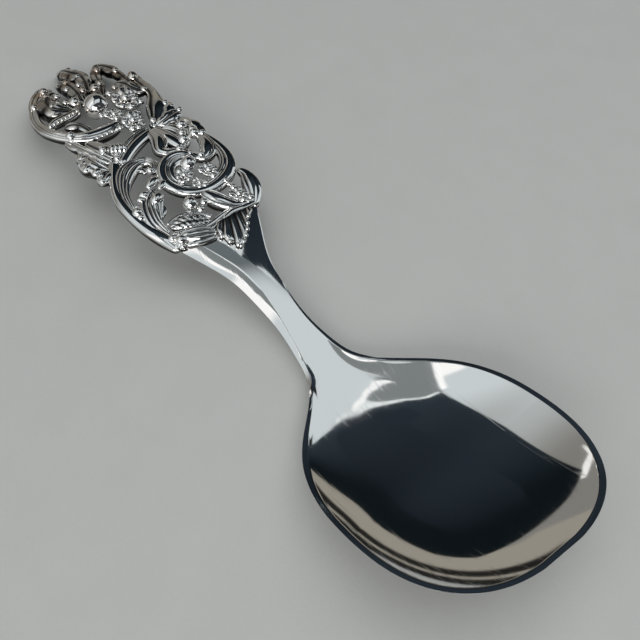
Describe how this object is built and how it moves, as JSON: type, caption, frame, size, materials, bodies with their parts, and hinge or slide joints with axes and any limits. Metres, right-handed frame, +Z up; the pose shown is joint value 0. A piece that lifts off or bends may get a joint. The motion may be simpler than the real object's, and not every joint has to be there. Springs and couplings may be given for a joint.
{
  "type": "serving spoon",
  "caption": "Silver serving spoon: a wide shallow bowl and slim stem, with a pierced, arched handle built up from scrolls, leaves, flowers and beads.",
  "frame": {"origin": "middle of the small rest flat under the bowl, on the ground", "axes": "+X along the spoon towards the bowl's tip, +Z up, +Y to the left of the person who holds the handle"},
  "size_m": [0.1754, 0.0508, 0.0172],
  "materials": {
    "polished_silver": "mirror polished",
    "toned_silver": "polished, darkened in the recesses"
  },
  "bodies": {
    "root": {"binding_knot": "toned_silver", "bowl_and_stem": "polished_silver", "centre_flower": "toned_silver", "centre_strap": "toned_silver", "fruit_boss": "polished_silver", "hub_left_leaf": "toned_silver", "hub_lower_leaf": "toned_silver", "hub_upper_leaf": "toned_silver", "left_bead": "toned_silver", "left_crescent_leaf": "toned_silver", "left_edge_bead": "toned_silver", "left_edge_leaf": "toned_silver", "left_flower": "toned_silver", "left_lobe_leaf": "toned_silver", "left_loop_leaf": "toned_silver", "left_shoulder_leaf": "toned_silver", "left_shoulder_scroll": "toned_silver", "left_volute": "toned_silver", "right_acanthus_leaf": "toned_silver", "right_c_scroll": "toned_silver", "right_long_leaf": "toned_silver", "right_rim_scroll": "toned_silver", "right_shell_leaf": "toned_silver", "right_shell_tip": "toned_silver", "right_short_leaf": "toned_silver", "rim_bead": "toned_silver", "ring_flower": "toned_silver", "ring_oval_leaf": "toned_silver", "round_bud": "toned_silver", "seed_pod": "toned_silver", "shoulder_fan_leaf": "toned_silver", "shoulder_flower": "toned_silver", "shoulder_knot": "toned_silver", "shoulder_reed_leaf": "toned_silver", "shoulder_strap": "toned_silver", "tail_inner_band": "toned_silver", "tail_inner_leaf": "toned_silver", "tail_left_bead": "toned_silver", "tail_left_inner_leaf": "toned_silver", "tail_left_leaf": "toned_silver", "tail_left_rim": "toned_silver", "tail_middle_bead": "toned_silver", "tail_middle_leaf": "toned_silver", "tail_right_bead": "toned_silver", "tail_right_leaf": "toned_silver", "tail_right_rim": "toned_silver", "tail_ring_bead": "toned_silver", "volute_eye": "polished_silver", "volute_flower": "toned_silver", "volute_lower_flower": "toned_silver", "volute_side_flower": "toned_silver"}
  },
  "joints": []
}
